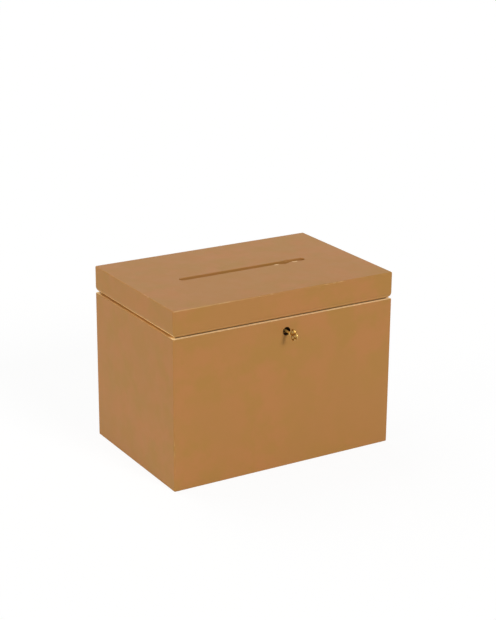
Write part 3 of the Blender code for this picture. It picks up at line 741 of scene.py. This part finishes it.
def brass_material(name, roughness, deep, rings=(), coat=0.0, inside=None):
    """Make brass with fine scratches; deep is the share of its dull patches.

    Each ring is the place and radius of a hole whose brass is darker round its rim.
    Coat is the share of a clear lacquer. Between the two places inside, from front to back, the
    brass turns matt, and paler as painted light.
    """
    nodes = new_material(name)
    place = nodes.place()
    patina = nodes.ramp(nodes.noise(place, 420, detail=4, roughness=0.6), 0.4, 0.75)
    tone = nodes.mix(nodes.times(patina, deep), BRASS, BRASS_PATINA)
    for middle, radius in rings:
        flat = nodes.stretched(place, (0.0, 1.0, 1.0))
        away = nodes.vector("DISTANCE", flat, middle, output="Value")
        start = nodes.ramp(away, radius, radius + HOLE_DARK_FULL)
        end = nodes.ramp(away, radius + HOLE_DARK_FADES, radius + HOLE_DARK_ENDS, 0.7, 0.0)
        tone = nodes.mix(nodes.times(start, end), tone, BRASS_RIM_DARK)
    nodes.set("Metallic", 0.9)
    if inside:
        # Towards and inside the keyhole the brass is matt, and its paler colour is painted light
        dull = nodes.ramp(nodes.split(place)["Y"], *inside)
        tone = nodes.mix(dull, tone, LIT_MATT_BRASS)
        nodes.set("Metallic", nodes.ramp(dull, 0.0, 1.0, 0.9, 0.35))
    nodes.set("Base Color", tone)
    nodes.set("Coat Weight", coat)
    nodes.set("Coat Roughness", 0.1)
    rough = nodes.ramp(nodes.noise(place, 900, detail=3), 0.3, 0.7, roughness, roughness + 0.12)
    nodes.set("Roughness", rough)
    lines = nodes.noise(nodes.stretched(place, (1.0, 9.0, 9.0)), 700, detail=2)
    nodes.set("Normal", nodes.bump(lines, 0.00001, strength=0.4))
    return nodes.owner


def keyhole_shade_brass_material():
    """Make dark brown, dull brass: painted shade for what lies in the keyhole."""
    nodes = new_material("keyhole_shade_brass")
    place = nodes.place()
    spots = nodes.ramp(nodes.noise(place, 300, detail=5, roughness=0.65), 0.35, 0.7)
    nodes.set("Base Color", nodes.mix(spots, KEYHOLE_SHADE_BRASS, KEYHOLE_SHADE_BRASS_SPOTS))
    nodes.set("Metallic", 0.7)
    nodes.set("Roughness", nodes.ramp(nodes.noise(place, 500, detail=3), 0.3, 0.7, 0.5, 0.65))
    nodes.set("Normal", nodes.bump(nodes.noise(place, 1200, detail=3), 0.00002, strength=0.5))
    return nodes.owner


def steel_material():
    """Make brushed steel, with its lines along the bolt."""
    nodes = new_material("brushed_steel")
    lines = nodes.noise(nodes.stretched(nodes.place(), (0.04, 1.0, 1.0)), 3500, detail=2)
    nodes.set("Base Color", nodes.mix(nodes.ramp(lines, 0.3, 0.7), STEEL, STEEL_LINES))
    nodes.set("Metallic", 1.0)
    nodes.set("Roughness", nodes.ramp(lines, 0.2, 0.8, 0.28, 0.42))
    nodes.set("Normal", nodes.bump(lines, 0.00001, strength=0.5))
    return nodes.owner


def finish(obj, material, body=None, replaces=()):
    """Give a piece its material; attach a new one to its body and hide the nodes it stands in
    for.
    """
    obj.data.materials.clear()
    obj.data.materials.append(material)
    if body:
        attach(obj, body)
    if replaces:
        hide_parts(*replaces)


def make_body_shell(material):
    """Make the four painted walls as one shell, with the keyhole and the hinges' beds."""
    corners = (
        (0.0, 0.0, FOOT_ROUND),
        (0.0, BODY_TOP, RIM_ROUND),
        (WALL, BODY_TOP, INNER_ROUND),
        (WALL, BOTTOM_PANEL + GLUE_GAP, REBATE_ROUND),
        (BOTTOM_REBATE, BOTTOM_PANEL + GLUE_GAP, 0.0),
        (BOTTOM_REBATE, 0.0, REBATE_ROUND),
    )
    body = new_solid("painted_body", shell(rounded_profile(corners, True), True))
    bore = eased_hole(KEYHOLE_RADIUS, KEYHOLE_ROUND, 2 * WALL)
    keyhole = lathe(bore, (0.0, -DEPTH / 2, KEY_HEIGHT), (0, 1, 0))
    cut(body, [keyhole, *hinge_cutters(BODY_TOP)])
    smooth(body)
    walls = [side + "_wall" for side in ("front", "back", "left", "right")]
    finish(body, material, "box", walls)


def make_lid_shell(material):
    """Make the lid's rails and panel as one painted shell with the envelope slot."""
    corners = (
        (TOP_INSET, HEIGHT, 0.0),
        (0.0, HEIGHT, TOP_ROUND),
        (0.0, LID_LOW + LID_CHAMFER, LIP_UPPER_ROUND),
        (LID_CHAMFER, LID_LOW, LIP_LOWER_ROUND),
        (WALL, LID_LOW, INNER_ROUND),
        (WALL, HEIGHT - LID_PANEL, 0.0),
    )
    lid = new_solid("painted_lid", shell(rounded_profile(corners, False), False))
    chips = [chip_cutter(centre, radii) for centre, radii, _ in CHIPS]
    cut(lid, [slot_cutter(), *hinge_cutters(LID_LOW), *chips])
    smooth(lid)
    rails = [f"lid_{side}_rail" for side in ("front", "back", "left", "right")]
    finish(lid, material, "lid", [*rails, "lid_panel"])


def turned_shank():
    """Draw the key's turned shank and collar, from its tip to its bow."""
    collar = KEY_TIP_Y - COLLAR_Y
    bow = KEY_TIP_Y - BOW_Y
    profile = [(SHANK_RADIUS - TIP_ROUND, 0.0), (SHANK_RADIUS, TIP_ROUND)]
    profile += [(radius, collar + past) for radius, past in COLLAR_RINGS]
    profile.append((SHANK_RADIUS, bow - LOBE_RADIUS + SHANK_INTO_BOW))
    profile.append((BOW_THICKNESS / 2, bow - LOBE_HOLE_RADIUS))
    return lathe(profile, (0.0, KEY_TIP_Y, KEY_HEIGHT), (0, -1, 0))


def bow_rings():
    """Draw the three round rings of the key's bow."""
    section = []
    for i in range(ROUND_SEGMENTS // 2):
        turn = 2 * math.tau * i / ROUND_SEGMENTS
        swing = (LOBE_RADIUS - LOBE_HOLE_RADIUS) * math.cos(turn)
        radius = (LOBE_RADIUS + LOBE_HOLE_RADIUS + swing) / 2
        section.append((radius, BOW_THICKNESS / 2 * math.sin(turn)))
    return [lathe(section, middle, (1, 0, 0), closed=True) for middle in LOBES]


def bow_web():
    """Draw the web that fills the middle of the key's bow."""
    edge = BOW_THICKNESS / 2 * WEB_THICKNESS
    profile = [(WEB_EDGE_RADIUS, -edge), (WEB_RADIUS, 0.0), (WEB_EDGE_RADIUS, edge)]
    return lathe(profile, (0.0, BOW_Y - END_LOBE_OFFSET * WEB_PLACE, KEY_HEIGHT), (1, 0, 0))


def make_key(material):
    """Make the key: shank and collar, bow and bit, cast in one with soft edges."""
    bit = block((-BIT_HALF, BIT_START, KEY_HEIGHT - BIT_REACH), (BIT_HALF, BIT_END, KEY_HEIGHT))
    whole = bmesh.new()
    for piece in (turned_shank(), *bow_rings(), bow_web(), bit):
        mesh = mesh_of("piece", piece)
        whole.from_mesh(mesh)
        bpy.data.meshes.remove(mesh)
    key = new_solid("cast_key", whole)
    cast = key.modifiers.new("cast", "REMESH")
    cast.mode = "VOXEL"
    cast.voxel_size = KEY_VOXEL
    soften = key.modifiers.new("soften", "SMOOTH")
    soften.factor = SOFTEN_SHARE
    soften.iterations = SOFTEN_ROUNDS
    bake(key)
    key.data.shade_smooth()
    finish(key, material, "key", ["key"])


def dress_node(name, material, ease):
    """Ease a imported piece's edges and give it its material."""
    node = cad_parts[name]
    weld = node.modifiers.new("weld", "WELD")
    weld.merge_threshold = WELD_DISTANCE
    bevel = node.modifiers.new("eased_edges", "BEVEL")
    bevel.width = ease
    bevel.segments = 2
    bevel.limit_method = "ANGLE"
    bevel.angle_limit = math.radians(BEVEL_DEGREES)
    node.modifiers.new("flat_faces", "WEIGHTED_NORMAL")
    finish(node, material)


def dress_metal():
    """Give the hinges, the lock and the screws their metals."""
    fittings = brass_material("fitting_brass", 0.26, 0.5)
    shaded_fittings = keyhole_shade_brass_material()
    steel = steel_material()
    for name in sorted(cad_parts):
        if name in ("lock_bolt", "bolt_spring"):
            dress_node(name, steel, STEEL_EASE)
        # The lock's plate and hub lie in the keyhole's shade: their dark brass paints that shade
        elif name in ("lock_plate", "lock_hub"):
            dress_node(name, shaded_fittings, SHEET_EASE)
        elif name.startswith(("hinge_", "lock_", "strike_")):
            dress_node(name, fittings, SCREW_EASE if "screw" in name else SHEET_EASE)


def heading_at(azimuth, elevation):
    """Give the heading at an azimuth, 0 in front and 90 to the right, and an elevation."""
    turn = math.radians(azimuth)
    rise = math.radians(elevation)
    across = math.sin(turn) * math.cos(rise)
    behind = -math.cos(turn) * math.cos(rise)
    return Vector((across, behind, math.sin(rise)))


def make_lamp(name, azimuth, elevation, width, level, tint):
    """Make a soft lamp some degrees wide; at level 1 it renders a colour as it is written."""
    data = bpy.data.lights.new(name, "SUN")
    data.color = tint
    data.angle = math.radians(width)
    data.energy = level * math.pi
    lamp = new_object(name, data)
    target = Vector((0.0, 0.0, HEIGHT / 2))
    place = target + heading_at(azimuth, elevation) * LAMP_DISTANCE
    lamp.location = place
    lamp.rotation_euler = (target - place).to_track_quat("-Z", "Y").to_euler()


def make_floor():
    """Make a white floor that keeps the box's soft shadow."""
    shape = bmesh.new()
    bmesh.ops.create_grid(shape, x_segments=8, y_segments=8, size=FLOOR_HALF)
    floor = new_solid("floor", shape)
    nodes = new_material("white_floor")
    seen = nodes.seen()
    cloud = nodes.ramp(nodes.noise(nodes.place(), 3, detail=2), 0.3, 0.7, 0.79, 0.81)
    tone = nodes.math("MAXIMUM", cloud, seen)
    shade = nodes.add("ShaderNodeCombineColor")
    for socket in shade.inputs[:3]:
        nodes.feed(socket, tone)
    nodes.set("Base Color", shade.outputs[0])
    nodes.set("Roughness", 0.9)
    glow = nodes.add("ShaderNodeEmission")
    nodes.feed(glow.inputs["Strength"], FLOOR_GLOW)
    blend = nodes.add("ShaderNodeMixShader")
    nodes.feed(blend.inputs[0], nodes.times(seen, 0.9))
    nodes.feed(blend.inputs[1], nodes.named("Principled BSDF").outputs[0])
    nodes.feed(blend.inputs[2], glow.outputs[0])
    nodes.feed(nodes.named("Material Output").inputs["Surface"], blend.outputs[0])
    floor.data.materials.append(nodes.owner)


def make_world():
    """Make an even surrounding, white where it is seen and at a plain level for the light."""
    world = bpy.data.worlds.new("studio")
    bpy.context.scene.world = world
    nodes = Nodes(world)
    background = nodes.named("Background")
    nodes.feed(background.inputs["Color"], (*WHITE, 1.0))
    strength = nodes.ramp(nodes.seen(), 0.0, 1.0, WORLD_LEVEL, 1.0)
    nodes.feed(background.inputs["Strength"], strength)


def make_camera():
    """Make the camera where the photograph was taken from."""
    backward = heading_at(CAMERA_AZIMUTH, CAMERA_ELEVATION)
    roll = math.radians(CAMERA_ROLL)
    level_right = Vector((0, 0, 1)).cross(backward).normalized()
    level_up = backward.cross(level_right)
    right = level_right * math.cos(roll) + level_up * math.sin(roll)
    up = level_up * math.cos(roll) - level_right * math.sin(roll)
    turn = Matrix((right, up, backward)).transposed().to_4x4()
    data = bpy.data.cameras.new("camera")
    data.lens = CAMERA_LENS
    data.sensor_width = CAMERA_SENSOR
    data.clip_start = CAMERA_NEAR
    data.clip_end = CAMERA_FAR
    camera = new_object("camera", data)
    camera.matrix_world = Matrix.Translation(CAMERA_PLACE) @ turn
    bpy.context.scene.camera = camera


make_camera()
make_world()
make_floor()
for lamp_settings in LAMPS:
    make_lamp(*lamp_settings)
body_material = body_paint()
lid_material = lid_paint()
make_body_shell(body_material)
make_lid_shell(lid_material)
lobe_rims = [(lobe, LOBE_HOLE_RADIUS) for lobe in LOBES]
make_key(brass_material("key_brass", 0.2, 0.7, lobe_rims, coat=0.7, inside=LIT_MATT_SHANK))
dress_metal()
dress_node("bottom_panel", body_material, BOARD_EASE)
bpy.context.scene.view_settings.view_transform = "Standard"
